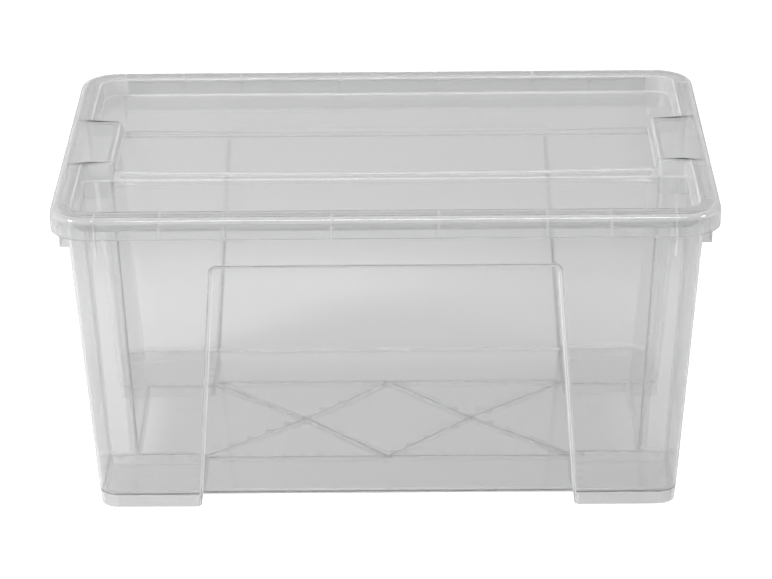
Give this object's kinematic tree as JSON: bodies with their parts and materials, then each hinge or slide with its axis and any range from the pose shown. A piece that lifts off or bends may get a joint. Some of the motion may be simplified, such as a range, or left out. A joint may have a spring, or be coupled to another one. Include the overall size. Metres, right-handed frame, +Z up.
{
  "type": "stackable storage bin",
  "caption": "Clear moulded storage bin with drafted walls, low corner feet, hand-grip recesses under the rim and a lift-off lid sunk to take the feet of the next bin.",
  "frame": {"origin": "middle of the footprint, on the surface that the feet stand on", "axes": "+X along the long side, +Y from the front wall to the back wall, +Z up, the way the lid lifts"},
  "size_m": [0.57, 0.39, 0.2834],
  "materials": {
    "clear_plastic": "clear polypropylene, slightly milky, smooth outside",
    "lid_plastic": "clear polypropylene, slightly milky, smooth"
  },
  "bodies": {
    "bin": {"bin": "clear_plastic"},
    "lid": {"lid": "lid_plastic"}
  },
  "joints": [
    {"name": "lid_lift", "type": "slide", "parent": "bin", "child": "lid", "axis": [0, 0, 1], "range_m": [0, 0.25]}
  ]
}
